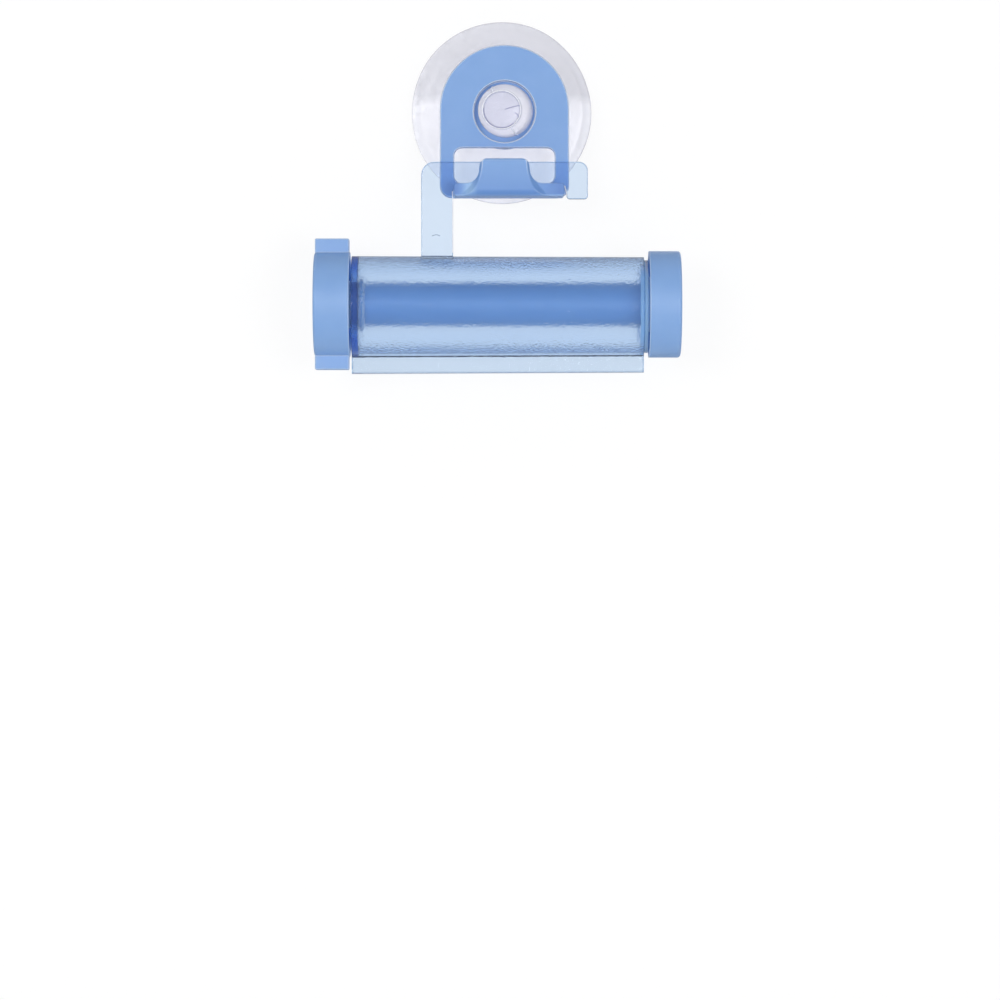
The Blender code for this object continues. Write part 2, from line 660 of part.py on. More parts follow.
def make_knob(parts, cutters, material):
    """A hollow disc with a hub. Each wing stands on its rim and is hollow too, open to the disc's inside."""
    axis = Matrix.Translation((KNOB_INNER_X, 0, 0)) @ along_x(ROLLER_AXIS, -1)
    inside = KNOB_WIDTH - KNOB_WALL
    hollow_radius = KNOB_RADIUS - KNOB_WALL
    profile = disc_edge(KNOB_RADIUS, KNOB_WIDTH, KNOB_EDGE_ROUND) + [
        (hollow_radius, 0),
        (hollow_radius, inside),
        (KNOB_HUB_RADIUS, inside),
        (KNOB_HUB_RADIUS, 0),
        (0, 0),
    ]
    knob = turned("winding_knob", profile, FINE_SEGMENTS, axis, parts, material)
    y, z = ROLLER_AXIS.y, ROLLER_AXIS.z
    left = KNOB_OUTER_X + WING_INSET
    half = WING_THICKNESS / 2
    root = KNOB_RADIUS - KNOB_WALL / 2
    tip = KNOB_RADIUS + WING_HEIGHT
    for name, low, high in (("upper", root, tip), ("lower", -tip, -root)):
        corners = (left, y - half, z + low), (KNOB_INNER_X - WING_INSET, y + half, z + high)
        boolean(knob, "UNION", box(name + "_wing_form", *corners, cutters, WING_EDGE_ROUND))
    half -= WING_WALL
    root = hollow_radius - KNOB_WALL
    tip -= WING_WALL
    for name, low, high in (("upper", root, tip), ("lower", -tip, -root)):
        corners = (left + WING_WALL, y - half, z + low), (KNOB_INNER_X + KNOB_WALL, y + half, z + high)
        boolean(knob, "DIFFERENCE", box(name + "_wing_pocket", *corners, cutters))
    socket_end = SPIGOT_TIP_X - PRESS_GAP
    socket = square_bar("knob_socket", SPIGOT_SIDE + 2 * PRESS_GAP, socket_end, BARREL_LEFT_X, cutters)
    boolean(knob, "DIFFERENCE", socket)
    return knob


def make_end_cap(parts, material):
    axis = Matrix.Translation((CAP_INNER_X, 0, 0)) @ along_x(ROLLER_AXIS)
    inside = CAP_WIDTH - CAP_WALL
    socket_radius = ROLLER_RADIUS + PRESS_GAP
    boss_radius = socket_radius + CAP_BOSS_WALL
    profile = disc_edge(CAP_RADIUS, CAP_WIDTH, CAP_EDGE_ROUND)
    profile += [
        (CAP_RADIUS - CAP_WALL, 0),
        (CAP_RADIUS - CAP_WALL, inside),
        (boss_radius, inside),
        (boss_radius, 0),
        (socket_radius, 0),
        (socket_radius, inside),
        (0, inside),
    ]
    return turned("end_cap", profile, FINE_SEGMENTS, axis, parts, material)


def hang_on(obj, parent):
    """Parents an object and keeps it where it is."""
    bpy.context.view_layer.update()
    place = obj.matrix_world.copy()
    obj.parent = parent
    obj.matrix_world = place


def axis_marker(name, place, parent=None):
    marker = bpy.data.objects.new(name, None)
    marker.location = place
    marker.empty_display_size = 10 * MM
    bpy.context.scene.collection.objects.link(marker)
    if parent:
        hang_on(marker, parent)
    return marker


def main():
    clear_scene()
    parts = new_collection("toothpaste_tube_squeezer")
    cutters = new_collection("cutters")
    milky_blue = plastic("milky blue plastic", MILKY_BLUE, 0.38)
    clear_blue = plastic("clear blue plastic", CLEAR_BLUE, 0.15, 0.9)
    clear_soft = plastic("clear soft plastic", CLEAR_SOFT, 0.12, 0.9)

    wall = axis_marker("wall", (0, 0, 0))
    swivel = axis_marker("hook_swivel_axis", (0, 0, 0), wall)
    lift = axis_marker("casing_lift", (0, -HANGER_MIDDLE, BAR_BOTTOM_Z), swivel)
    spin = axis_marker("roller_axis", ROLLER_AXIS, lift)
    hang_on(make_suction_cup(parts, clear_soft), wall)
    hang_on(make_hook_plate(parts, cutters, milky_blue), swivel)
    hang_on(make_casing(parts, cutters, clear_blue), lift)
    hang_on(make_bearing_disc(parts, cutters, clear_blue), lift)
    hang_on(make_roller(parts, cutters, milky_blue), spin)
    hang_on(make_knob(parts, cutters, milky_blue), spin)
    hang_on(make_end_cap(parts, milky_blue), spin)


main()
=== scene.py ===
import math

import bmesh
import bpy
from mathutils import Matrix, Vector


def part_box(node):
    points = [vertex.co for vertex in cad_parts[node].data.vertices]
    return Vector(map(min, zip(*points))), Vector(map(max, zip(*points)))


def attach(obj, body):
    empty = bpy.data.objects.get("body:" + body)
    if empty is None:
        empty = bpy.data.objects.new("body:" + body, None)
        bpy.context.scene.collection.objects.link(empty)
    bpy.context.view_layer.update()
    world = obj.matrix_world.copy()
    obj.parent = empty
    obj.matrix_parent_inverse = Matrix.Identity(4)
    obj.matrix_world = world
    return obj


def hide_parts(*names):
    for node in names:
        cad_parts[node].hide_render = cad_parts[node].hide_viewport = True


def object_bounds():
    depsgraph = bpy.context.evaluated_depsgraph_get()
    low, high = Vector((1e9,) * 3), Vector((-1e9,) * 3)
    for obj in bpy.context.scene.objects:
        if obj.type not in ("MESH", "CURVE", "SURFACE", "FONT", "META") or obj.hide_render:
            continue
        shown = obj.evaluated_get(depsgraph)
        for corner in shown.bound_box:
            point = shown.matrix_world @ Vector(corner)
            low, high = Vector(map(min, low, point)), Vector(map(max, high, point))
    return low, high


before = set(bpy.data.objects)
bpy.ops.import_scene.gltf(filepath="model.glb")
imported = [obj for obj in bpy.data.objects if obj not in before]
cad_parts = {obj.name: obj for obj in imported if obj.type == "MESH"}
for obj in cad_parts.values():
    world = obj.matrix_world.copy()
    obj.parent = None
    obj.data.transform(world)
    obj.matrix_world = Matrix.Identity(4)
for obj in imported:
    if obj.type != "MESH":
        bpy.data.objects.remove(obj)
CAD_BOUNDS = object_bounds()

MM = 0.001

# Camera: the photograph's view, with the hanger's plane at 0.25 mm per pixel
FRAME_WIDTH = 250 * MM
FRAME_CENTRE_X = -1.125 * MM
FRAME_CENTRE_Z = -97.4 * MM
CAMERA_DISTANCE = 1100 * MM
SENSOR_WIDTH = 36
FAR_CLIP = 10

# Stage
WALL_GAP = 0.6 * MM
WALL_HALF_WIDTH = 1.6
WALL_TOP = 1.2
FLOOR_Z = -0.34
FLOOR_DEPTH = 2.4
COVE_RADIUS = 0.09
COVE_STEPS = 16
PAPER_COLOUR = 0.8
PAPER_SHADOW_COLOUR = 0.13
PAPER_GLOW = 0.88
PAPER_GLOSS = 0.28

# Light: each lamp's place, size and power
WORLD_LEVEL = 0.5
LAMP_TARGET_Z = -0.04
LAMPS = {
    "key": ((-0.58, -1.28, 0.12), 0.6, 5.6),
    "fill": ((0.58, -1.28, -0.12), 0.6, 5.2),
    "back_light": ((0.2, 1.4, 0.2), 1.0, 8.0),
}

# Places that the pieces below are set against
CUP_LOW, CUP_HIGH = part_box("suction_cup")
CASING_LOW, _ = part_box("casing")
PLATE_LOW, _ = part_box("hook_plate")
ROLLER_LOW, ROLLER_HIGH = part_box("roller")
ROLLER_AXIS_Y = (ROLLER_LOW.y + ROLLER_HIGH.y) / 2
HANGER_THICKNESS = 2.2 * MM
BARREL_TOP = -36.45 * MM
HANGER_FACE_Y = ROLLER_AXIS_Y - HANGER_THICKNESS / 2

# Meshes
MERGE_DISTANCE = 0.002 * MM
FLAT_ANGLE = math.radians(0.3)
MOULDING_SHARP_ANGLE = math.radians(33)
CUP_SHARP_ANGLE = math.radians(50)
FLAT_FACE_WEIGHT = 100
RIDGE_RESOLUTION = 3

# Suction cup
CUP_SEGMENTS = 192
CUP_DOME_STEPS = 5
CUP_CAVITY_STEPS = 8
CUP_RIM_RADIUS = CUP_HIGH.x
HEAD_FRONT = -CUP_LOW.y
CUP_SEAL_WIDTH = 2.0 * MM
CUP_RIM_THICKNESS = 0.8 * MM
CUP_CAVITY_DEPTH = 6.4 * MM
CUP_DOME_HEIGHT = 9.0 * MM
CUP_COLLAR_RADIUS = 7.8 * MM
CUP_HEIGHT = 10.8 * MM
NECK_RADIUS = 5.3 * MM
HEAD_BACK = 13.0 * MM
HEAD_RADIUS = 6.7 * MM
HEAD_FACE_RADIUS = 4.9 * MM

# How the soft cup gives: sideways shifts along its depth, and its rim's stretch and waves
RIM_SHIFT = Vector((-0.8, 0.9)) * MM
RIM_SHIFT_POWER = 1.3
RIM_STRETCH = Vector((0.05, 0.35)) * MM
RIM_STRETCH_POWER = 6
RIM_WAVE = 0.05 * MM
RIM_WAVE_COUNT = 5
RIM_WAVE_START = 2.0
FLANGE_SHIFT = Vector((0.7, 0.15)) * MM
FACE_SHIFT = Vector((-0.75, 0.3)) * MM

# Marks on the cup's head: angles in degrees, scratches as (x, z) in mm
FLASH_ANGLE = math.radians(117)
FLASH_RADIUS = 0.16 * MM
# The bead is a raised ring whose white is a painted highlight.
BEAD_STEPS = 96
BEAD_INSET = 0.1 * MM
BEAD_RADIUS = 0.14 * MM
# A dark line along the face's lower side, a painted shadow.
FACE_SHADOW_STEPS = 32
FACE_SHADOW_START = 175
FACE_SHADOW_SWEEP = 140
FACE_SHADOW_INSET = 0.4 * MM
FACE_SHADOW_SINK = 0.1 * MM
FACE_SHADOW_RADIUS = 0.1 * MM
SCRATCH_RADIUS = 0.09 * MM
SCRATCHES = {
    "long": ((0.1, 0.4), (2.0, 1.0), (3.9, 1.4)),
    "short": ((2.6, -0.4), (3.3, -1.0), (3.6, -1.9)),
}

# Marks on the hanger as (x, z) in mm, and on the hook as (x, y, z) in mm
ARC_MIDDLE = Vector((-17.1 * MM, HANGER_FACE_Y, -31.5 * MM))
ARC_HALF_WIDTH = 1.0 * MM
ARC_RISE = 0.35 * MM
ARC_HALF_STEPS = 4
ARC_RADIUS = 0.07 * MM
# Two white lines on the arm's edges, painted highlights.
EDGE_HIGHLIGHT_SINK = 0.08 * MM
LEG_HIGHLIGHT = ((-12.98, -20.3), (-12.98, -28.0), (-12.98, -35.6))
LEG_HIGHLIGHT_RADIUS = 0.13 * MM
END_HIGHLIGHT = ((15.0, -18.9), (15.25, -19.9), (15.6, -21.5))
END_HIGHLIGHT_RADIUS = 0.16 * MM
GATE_NIB = ((1.0, -13.9, -9.0), (1.05, -14.0, -9.35))
GATE_NIB_RADIUS = 0.22 * MM

# Zones along one axis over which a finish changes: where the change starts and ends
GRAIN_ZONE = (BARREL_TOP - 0.6 * MM, BARREL_TOP + 0.2 * MM)
# The barrel's painted shade at its top fades in over this zone.
BARREL_TOP_SHADE_ZONE = (BARREL_TOP - 5.5 * MM, BARREL_TOP - 2.0 * MM)
LIPS_ZONE = (CASING_LOW.z + 3.65 * MM, CASING_LOW.z + 4.45 * MM)
# The dome's painted reflection fades in over this zone.
CUP_REFLECTION_ZONE = (2.5 * MM, 5.5 * MM)
HEAD_ZONE = (-HEAD_BACK, -CUP_HEIGHT)
FACE_ZONE = (-HEAD_FRONT + 0.3 * MM, -HEAD_FRONT + 0.55 * MM)
# Zones of the hook's painted shade and painted light.
HOOK_FRONT_ZONE = (HANGER_FACE_Y - 0.2 * MM, HANGER_FACE_Y + 0.3 * MM)
TAB_ZONE = (-20.0 * MM, -13.5 * MM)
LEFT_END_ZONE = (-12.3 * MM, -10.8 * MM)
RIGHT_END_ZONE = (9.5 * MM, 13.8 * MM)
COVE_START_ZONE = (-10.8 * MM, -9.4 * MM)
COVE_STOP_ZONE = (-8.2 * MM, -6.6 * MM)
COVE_HEIGHT_ZONE = (-18.6 * MM, -17.0 * MM)
UNDERSIDE_ZONE = (PLATE_LOW.z - 0.05 * MM, PLATE_LOW.z + 0.6 * MM)

# Edges: how far a face's normal agrees with the rounded one, on the face and full on the edge
EDGE_ZONE = (0.998, 0.955)
BEVEL_SAMPLES = 6

# Milky plastic: two blues that cloud into each other, and the blue of the edges, a painted
# highlight
PLATE_BLUES = ((0.205, 0.393, 0.75), (0.188, 0.374, 0.732), (0.9, 0.95, 1.0))
# The knob's and cap's blues: a lighter copy of the plate's, a painted sheen.
KNOB_SHEEN_BLUES = ((0.245, 0.435, 0.785), (0.227, 0.415, 0.768), (0.55, 0.7, 0.92))
# The roller's blues: a darker copy, painted shade for the light that the casing takes.
ROLLER_SHADE_BLUES = ((0.14, 0.341, 0.682), (0.127, 0.325, 0.665), (0.8, 0.9, 1.0))
# The hook's painted shade, down its tab and at its trough's ends, and its painted light, in a cove
# and on its underside.
TAB_SHADE_BLUE = (0.14, 0.308, 0.68)
TROUGH_END_SHADE_BLUE = (0.09, 0.225, 0.6)
COVE_LIGHT_BLUE = (0.36, 0.58, 0.87)
UNDERSIDE_LIGHT_BLUE = (0.4, 0.62, 0.95)
MILKY_IOR = 1.49
MILKY_SPECULAR = 0.9
MILKY_ROUGHNESS = (0.4, 0.5)
MILKY_GLOSS_SIZE = 0.9 * MM
MILKY_CLOUD_SIZE = 6 * MM
MILKY_GRAIN_SIZE = 0.22 * MM
MILKY_GRAIN_DEPTH = 0.012 * MM
MILKY_FLOW_SIZE = 1.6 * MM
MILKY_FLOW_STRETCH = (0.35, 1, 1)
MILKY_FLOW_DEPTH = 0.03 * MM
MILKY_EDGE_RADIUS = 0.45 * MM
INNER_LIGHT = 0.3
INNER_LIGHT_RADII = (0.7, 0.85, 1.0)
INNER_LIGHT_SCALE = 0.8 * MM

# Clear plastic of the casing and its disc: colour, colour of the edges, and how clear it is. The
# casing's darker edges are painted shade
CASING_LOOK = ((0.97, 0.99, 1.0), (0.15, 0.32, 0.55), 0.985)
DISC_LOOK = ((0.5, 0.78, 1.0), (0.5, 0.78, 1.0), 0.5)
# The barrel's greyer top, painted shade.
BARREL_TOP_SHADE = (0.85, 0.89, 0.93)
LIPS_GREY = (0.925, 0.945, 0.955)
CLEAR_IOR = 1.5
CLEAR_GLOSS_SIZE = 1.3 * MM
CASING_ROUGHNESS = (0.045, 0.08)
CASING_GRAIN_SIZE = 0.6 * MM
CASING_GRAIN_DEPTH = 0.085 * MM
CASING_WAVE_SIZE = 5.0 * MM
CASING_WAVE_DEPTH = 0.02 * MM
CASING_EDGE_RADIUS = 0.4 * MM
CASING_TINT = (0.225, 0.515, 0.845)
CASING_DENSITY = 202
CASING_PASSING = (0.99, 1.0, 1.0)

# Soft plastic of the cup: the dome low and high up, greyer high up as a painted reflection, and
# the head's flange, paler as a painted highlight, and its face
DOME_AND_REFLECTION_COLOURS = ((0.86, 0.86, 0.9), (0.70, 0.70, 0.745))
FLANGE_HIGHLIGHT_AND_FACE_COLOURS = ((0.87, 0.87, 0.94), (0.69, 0.7, 0.83))
DOME_CLEAR_SHARE = 0.88
HEAD_CLEAR_SHARE = 0.35
CUP_ROUGHNESS = (0.12, 0.22)
CUP_CREASE_SIZE = 1.4 * MM
CUP_CREASE_STRETCH = (1, 1, 2.2)
CUP_CREASE_DEPTH = 0.11 * MM
DOME_CREASE_SHARE = 0.04
CUP_WAVE_SIZE = 6.0 * MM
CUP_WAVE_DEPTH = 0.08 * MM
CUP_TINT = (0.5, 0.5, 0.78)
CUP_DENSITY = 25
CUP_PASSING = (0.9, 0.9, 0.92)

# Worn plastic of the marks; its white also paints highlights and its dark paints a shadow line
FROSTED_AND_HIGHLIGHT_COLOURS = ((0.97, 0.98, 1.0), (0.84, 0.86, 0.94))
SCORED_AND_SHADOW_COLOURS = ((0.32, 0.33, 0.52), (0.18, 0.2, 0.38))
WORN_ROUGHNESS = (0.25, 0.4)
WORN_GLOSS_SIZE = 0.8 * MM
SCUFF_SIZE = 0.5 * MM
SCUFF_DEPTH = 0.02 * MM


class Shader:
    """The nodes of a procedural material or of the world, added one by one."""

    def __init__(self, owner, output):
        owner.use_nodes = True
        self.owner = owner
        self.tree = owner.node_tree
        self.tree.nodes.clear()
        self.output = self.tree.nodes.new(output)
        self.place = self.add("ShaderNodeTexCoord").outputs["Object"]

    def add(self, kind, inputs=None, **settings):
        node = self.tree.nodes.new(kind)
        for name, value in settings.items():
            setattr(node, name, value)
        for name, value in (inputs or {}).items():
            if isinstance(value, bpy.types.NodeSocket):
                self.tree.links.new(value, node.inputs[name])
            else:
                node.inputs[name].default_value = value
        return node

    def axes(self):
        """Where a point of the piece lies along X, Y and Z."""
        return self.add("ShaderNodeSeparateXYZ", {0: self.place}).outputs

    def noise(self, size, detail=2.0, roughness=0.5, stretch=None):
        """Noise from 0 to 1, with features about as large as size."""
        place = self.place
        if stretch:
            mapping = self.add("ShaderNodeMapping", {"Vector": place, "Scale": stretch})
            place = mapping.outputs[0]
        inputs = {"Vector": place, "Scale": 1 / size, "Detail": detail, "Roughness": roughness}
        return self.add("ShaderNodeTexNoise", inputs).outputs["Fac"]

    def spread(self, value, low, high, start=0.3, end=0.7):
        """A value from start to end, moved to low to high."""
        limits = {
            "Value": value,
            "From Min": start,
            "From Max": end,
            "To Min": low,
            "To Max": high,
        }
        return self.add("ShaderNodeMapRange", limits).outputs[0]

    def between(self, share, first, second):
        """The first value where share is 0, the second where it is 1."""
        return self.spread(share, first, second, 0.0, 1.0)

    def shade(self, share, first, second):
        """The first colour where share is 0, the second where it is 1. Each may be a socket."""
        mix = self.add("ShaderNodeMix", data_type="RGBA")
        self.tree.links.new(share, mix.inputs["Factor"])
        for name, colour in (("A", first), ("B", second)):
            if isinstance(colour, bpy.types.NodeSocket):
                self.tree.links.new(colour, mix.inputs[name])
            else:
                mix.inputs[name].default_value = (*colour, 1)
        return mix.outputs["Result"]

    def maths(self, operation, value, other, clamp=False):
        inputs = {0: value, 1: other}
        node = self.add("ShaderNodeMath", inputs, operation=operation, use_clamp=clamp)
        return node.outputs[0]

    def times(self, value, other):
        return self.maths("MULTIPLY", value, other)

    def most(self, *values):
        """The largest of some values."""
        result = values[0]
        for value in values[1:]:
            result = self.maths("MAXIMUM", result, value)
        return result

    def less(self, value, other):
        """The first value less the second, and 0 at least."""
        return self.maths("SUBTRACT", value, other, clamp=True)

    def bump(self, height, depth, normal=None):
        """A normal that follows a height from 0 to 1, depth deep."""
        inputs = {"Height": height, "Distance": depth, "Strength": 1.0}
        if normal:
            inputs["Normal"] = normal
        return self.add("ShaderNodeBump", inputs).outputs[0]

    def rounded(self, radius):
        """A normal that turns smoothly over the edges."""
        return self.add("ShaderNodeBevel", {"Radius": radius}, samples=BEVEL_SAMPLES).outputs[0]

    def edges(self, rounded):
        """1 along the edges that a rounded normal turns over, 0 on the faces."""
        flat = self.add("ShaderNodeNewGeometry").outputs["Normal"]
        both = {0: flat, 1: rounded}
        along = self.add("ShaderNodeVectorMath", both, operation="DOT_PRODUCT").outputs["Value"]
        return self.spread(along, 0.0, 1.0, *EDGE_ZONE)

    def in_view(self, gloss):
        """1 for what the camera sees, also through clear plastic, and gloss for reflections.

        It is 0 for what lights the part.
        """
        path = self.add("ShaderNodeLightPath").outputs
        seen = self.most(path["Is Camera Ray"], path["Is Glossy Ray"], path["Is Transmission Ray"])
        seen = self.less(seen, path["Diffuse Depth"])
        mirrored = self.less(path["Is Glossy Ray"], path["Is Transmission Ray"])
        return self.times(seen, self.between(mirrored, 1.0, gloss))

    def end_with(self, surface, volume=None):
        self.tree.links.new(surface, self.output.inputs["Surface"])
        if volume:
            self.tree.links.new(volume, self.output.inputs["Volume"])
        return self.owner


def new_material(name):
    return Shader(bpy.data.materials.new(name), "ShaderNodeOutputMaterial")


def hook_painted_light(made, colour):
    """Paints shade on the hook: a deeper blue down its tab and at its trough's ends.

    It paints light as a paler blue on the trough's underside and in the cove on the tab's left.
    """
    place = made.axes()
    front = made.spread(place["Y"], 1.0, 0.0, *HOOK_FRONT_ZONE)
    down = made.times(made.spread(place["Z"], 0.85, 0.0, *TAB_ZONE), front)
    left = made.spread(place["X"], 0.9, 0.0, *LEFT_END_ZONE)
    right = made.spread(place["X"], 0.0, 0.8, *RIGHT_END_ZONE)
    ends = made.times(made.most(left, right), front)
    start = made.spread(place["X"], 0.0, 0.7, *COVE_START_ZONE)
    stop = made.spread(place["X"], 1.0, 0.0, *COVE_STOP_ZONE)
    low = made.spread(place["Z"], 1.0, 0.0, *COVE_HEIGHT_ZONE)
    cove = made.times(made.times(start, stop), made.times(low, front))
    under = made.spread(place["Z"], 0.9, 0.0, *UNDERSIDE_ZONE)
    # Painted shade down the tab and at the trough's ends, painted light in the cove and on the
    # underside.
    colour = made.shade(down, colour, TAB_SHADE_BLUE)
    colour = made.shade(ends, colour, TROUGH_END_SHADE_BLUE)
    colour = made.shade(cove, colour, COVE_LIGHT_BLUE)
    return made.shade(under, colour, UNDERSIDE_LIGHT_BLUE)


def milky_plastic(name, main, second, edge, painted_light=None):
    """Satin moulded polypropylene that lets a little light through."""
    made = new_material(name)
    clouds = made.noise(MILKY_CLOUD_SIZE, detail=3.0)
    grain = made.noise(MILKY_GRAIN_SIZE, detail=3.0, roughness=0.6)
    flow = made.noise(MILKY_FLOW_SIZE, stretch=MILKY_FLOW_STRETCH)
    rounded = made.rounded(MILKY_EDGE_RADIUS)
    flowing = made.bump(flow, MILKY_FLOW_DEPTH, rounded)
    colour = made.shade(made.spread(clouds, 0, 1), main, second)
    # Painted highlight: the colour turns to the edge blue along the edges.
    colour = made.shade(made.edges(rounded), colour, edge)
    # The hook's painted shade and painted light.
    if painted_light:
        colour = painted_light(made, colour)
    inputs = {
        "Base Color": colour,
        "Roughness": made.spread(made.noise(MILKY_GLOSS_SIZE), *MILKY_ROUGHNESS),
        "Normal": made.bump(grain, MILKY_GRAIN_DEPTH, flowing),
        "IOR": MILKY_IOR,
        "Specular IOR Level": MILKY_SPECULAR,
        "Subsurface Weight": INNER_LIGHT,
        "Subsurface Radius": INNER_LIGHT_RADII,
        "Subsurface Scale": INNER_LIGHT_SCALE,
    }
    return made.end_with(made.add("ShaderNodeBsdfPrincipled", inputs).outputs[0])


def clear_plastic(made, inputs, tint, density, passing):
    """Ends a clear plastic whose tint deepens with its thickness.

    Lamps shine straight through it.
    """
    shader = made.add("ShaderNodeBsdfPrincipled", inputs)
    through = made.add("ShaderNodeBsdfTransparent", {"Color": (*passing, 1)})
    path = made.add("ShaderNodeLightPath").outputs
    lights = made.most(path["Is Shadow Ray"], path["Is Diffuse Ray"])
    parts = {0: lights, 1: shader.outputs[0], 2: through.outputs[0]}
    surface = made.add("ShaderNodeMixShader", parts)
    volume = made.add("ShaderNodeVolumeAbsorption", {"Color": (*tint, 1), "Density": density})
    return made.end_with(surface.outputs[0], volume.outputs[0])


def casing_plastic(name, base, edge, clear_share):
    """Clear blue plastic, polished on the hanger and grained on the barrel.

    It is darker along its edges and greyer at the barrel's top, both painted shade, and greyer on
    the lips.
    """
    made = new_material(name)
    height = made.axes()["Z"]
    barrel = made.spread(height, 1.0, 0.0, *GRAIN_ZONE)
    peel = made.times(made.noise(CASING_GRAIN_SIZE, roughness=0.6), barrel)
    # Painted shade: the barrel's top turns greyer.
    upper = made.times(made.spread(height, 0.0, 1.0, *BARREL_TOP_SHADE_ZONE), barrel)
    lips = made.spread(height, 1.0, 0.0, *LIPS_ZONE)
    colour = made.shade(upper, base, BARREL_TOP_SHADE)
    colour = made.shade(lips, colour, LIPS_GREY)
    rounded = made.rounded(CASING_EDGE_RADIUS)
    waves = made.bump(made.noise(CASING_WAVE_SIZE), CASING_WAVE_DEPTH, rounded)
    # Painted shade: the edges turn to the edge colour, darker on the casing.
    inputs = {
        "Base Color": made.shade(made.edges(rounded), colour, edge),
        "Roughness": made.spread(made.noise(CLEAR_GLOSS_SIZE), *CASING_ROUGHNESS),
        "Normal": made.bump(peel, CASING_GRAIN_DEPTH, waves),
        "IOR": CLEAR_IOR,
        "Transmission Weight": clear_share,
    }
    return clear_plastic(made, inputs, CASING_TINT, CASING_DENSITY, CASING_PASSING)


def cup_plastic():
    """Clear soft plastic, creased and milky on the head, clearer on the dome.

    It is a little greyer high up on the dome, a painted reflection, and its head's flange is paler
    than its face, a painted highlight.
    """
    made = new_material("clear_soft_plastic")
    place = made.axes()
    head = made.spread(place["Y"], 1.0, 0.0, *HEAD_ZONE)
    # Painted reflection: the dome turns greyer high up.
    upper = made.spread(place["Z"], 0.0, 1.0, *CUP_REFLECTION_ZONE)
    face = made.spread(place["Y"], 1.0, 0.0, *FACE_ZONE)
    dome_colour = made.shade(upper, *DOME_AND_REFLECTION_COLOURS)
    # Painted highlight: the head's flange is paler than its face.
    head_colour = made.shade(face, *FLANGE_HIGHLIGHT_AND_FACE_COLOURS)
    creases = made.noise(CUP_CREASE_SIZE, detail=4.0, roughness=0.6, stretch=CUP_CREASE_STRETCH)
    creases = made.times(creases, made.between(head, DOME_CREASE_SHARE, 1.0))
    waves = made.bump(made.noise(CUP_WAVE_SIZE), CUP_WAVE_DEPTH)
    inputs = {
        "Base Color": made.shade(head, dome_colour, head_colour),
        "Roughness": made.spread(made.noise(CLEAR_GLOSS_SIZE), *CUP_ROUGHNESS),
        "Normal": made.bump(creases, CUP_CREASE_DEPTH, waves),
        "IOR": CLEAR_IOR,
        "Transmission Weight": made.between(head, DOME_CLEAR_SHARE, HEAD_CLEAR_SHARE),
    }
    return clear_plastic(made, inputs, CUP_TINT, CUP_DENSITY, CUP_PASSING)


def worn_and_painted_plastic(name, light, dark):
    """Plastic that was scratched or squeezed out of the mould, and isn't clear there. Its colours
    also paint highlights and a shadow line as thin ridges.
    """
    made = new_material(name)
    scuffs = made.noise(SCUFF_SIZE, detail=3.0, roughness=0.6)
    inputs = {
        "Base Color": made.shade(made.spread(scuffs, 0, 1), light, dark),
        "Roughness": made.spread(made.noise(WORN_GLOSS_SIZE), *WORN_ROUGHNESS),
        "Normal": made.bump(scuffs, SCUFF_DEPTH),
        "IOR": CLEAR_IOR,
    }
    return made.end_with(made.add("ShaderNodeBsdfPrincipled", inputs).outputs[0])


def backdrop_material():
    """Matt white paper that the camera sees lit up.

    It is see-through from behind and casts no shadow.
    """
    made = new_material("backdrop")
    glow = made.between(made.in_view(PAPER_GLOSS), 0.0, PAPER_GLOW)
    colour = made.between(made.in_view(1.0), PAPER_COLOUR, PAPER_SHADOW_COLOUR)
    paper = made.add("ShaderNodeBsdfDiffuse", {"Color": colour})
    light = made.add("ShaderNodeEmission", {"Strength": glow})
    both = made.add("ShaderNodeAddShader", {0: paper.outputs[0], 1: light.outputs[0]})
    behind = made.add("ShaderNodeNewGeometry").outputs["Backfacing"]
    passes = made.most(behind, made.add("ShaderNodeLightPath").outputs["Is Shadow Ray"])
    clear = made.add("ShaderNodeBsdfTransparent")
    parts = {0: passes, 1: both.outputs[0], 2: clear.outputs[0]}
    return made.end_with(made.add("ShaderNodeMixShader", parts).outputs[0])


def new_piece(name, mesh, material, body, slot, *nodes):
    """Adds a piece that rides on a body, with its finish, in place of the CAD nodes given."""
    mesh.materials.clear()
    mesh.materials.append(material)
    piece = bpy.data.objects.new(name, mesh)
    bpy.context.scene.collection.objects.link(piece)
    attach(piece, body)
    if nodes:
        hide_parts(*nodes)
    return piece


def smooth_mesh(name, shape, sharp_angle):
    """Turns a bmesh into a mesh that is shaded smooth up to an angle, and frees it."""
    mesh = bpy.data.meshes.new(name)
    shape.to_mesh(mesh)
    shape.free()
    if "custom_normal" in mesh.attributes:
        mesh.attributes.remove(mesh.attributes["custom_normal"])
    mesh.shade_smooth()
    mesh.set_sharp_from_angle(angle=sharp_angle)
    return mesh


def make_moulding(node, body, slot, material):
    """A CAD node's own shape with its vertices joined and its curved faces shaded smooth."""
    shape = bmesh.new()
    shape.from_mesh(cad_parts[node].data)
    bmesh.ops.remove_doubles(shape, verts=shape.verts, dist=MERGE_DISTANCE)
    bmesh.ops.dissolve_limit(
        shape, angle_limit=FLAT_ANGLE, verts=shape.verts, edges=shape.edges
    )
    mesh = smooth_mesh(node + "_surface", shape, MOULDING_SHARP_ANGLE)
    piece = new_piece(node + "_moulding", mesh, material, body, slot, node)
    flat = piece.modifiers.new("flat_faces", "WEIGHTED_NORMAL")
    flat.weight = FLAT_FACE_WEIGHT
    flat.keep_sharp = True


